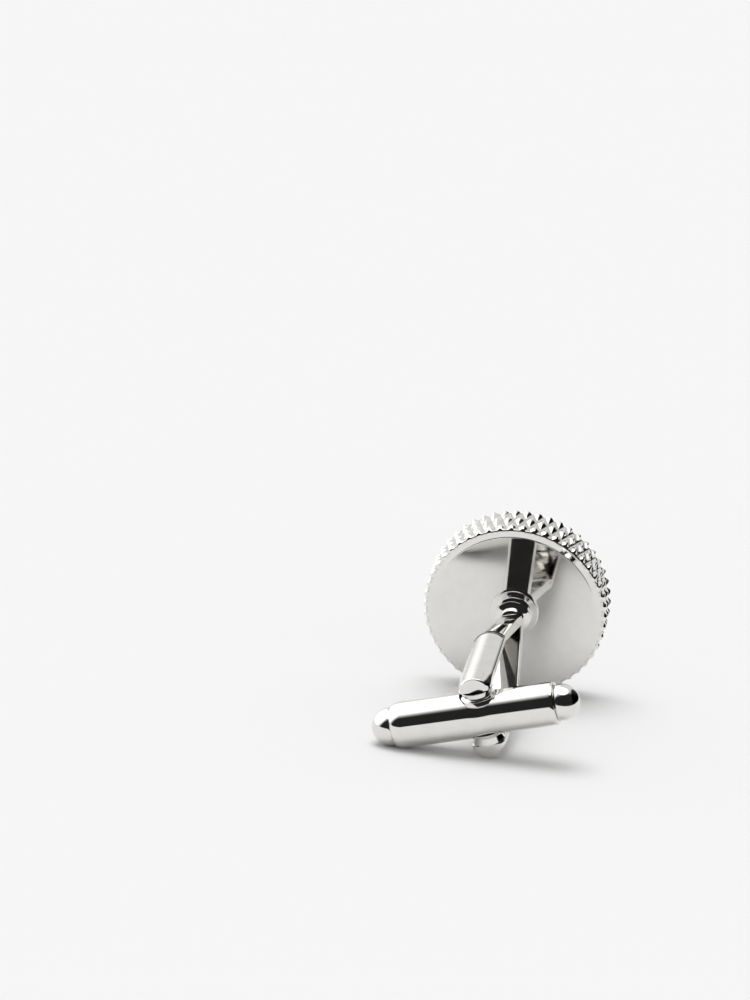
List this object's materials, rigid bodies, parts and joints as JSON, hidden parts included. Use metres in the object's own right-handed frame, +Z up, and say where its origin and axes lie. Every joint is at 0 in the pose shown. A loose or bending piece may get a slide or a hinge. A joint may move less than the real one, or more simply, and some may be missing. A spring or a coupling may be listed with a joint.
{
  "type": "cufflink",
  "caption": "Round cufflink with a diamond-knurled rim and brushed face; a forked post carries a swivelling toggle bar with domed ends.",
  "frame": {"origin": "centre of the bounding box's base, on the table that the cufflink lies on", "axes": "+Z up from the table; +Y from the brushed face towards the toggle bar, level; +X to the right of someone who looks at the brushed face, and the long half of the bar is on that side"},
  "size_m": [0.0182, 0.0278, 0.0173],
  "materials": {
    "head_metal": "front face satin brushed, rim cut and bright, back polished",
    "polished_metal": "polished to a mirror, rhodium or nickel plate",
    "inner_steel": "plain drawn and turned steel"
  },
  "bodies": {
    "head_and_fork": {"knurled_disc": "head_metal", "post_foot": "polished_metal", "fork": "polished_metal", "hinge_pin": "polished_metal"},
    "swivel_bar": {"toggle_barrel": "polished_metal", "upper_hub": "polished_metal", "lower_hub": "polished_metal", "long_end_cap": "polished_metal", "short_end_cap": "polished_metal", "detent_plunger": "inner_steel", "detent_spring": "inner_steel"}
  },
  "joints": [
    {"name": "bar_pivot", "type": "hinge", "parent": "head_and_fork", "child": "swivel_bar", "pos_m": [-0.00059, 0.01163, 0.00392], "axis": [0.2732, 0.2004, 0.9408], "range_deg": [-90, 90]}
  ]
}
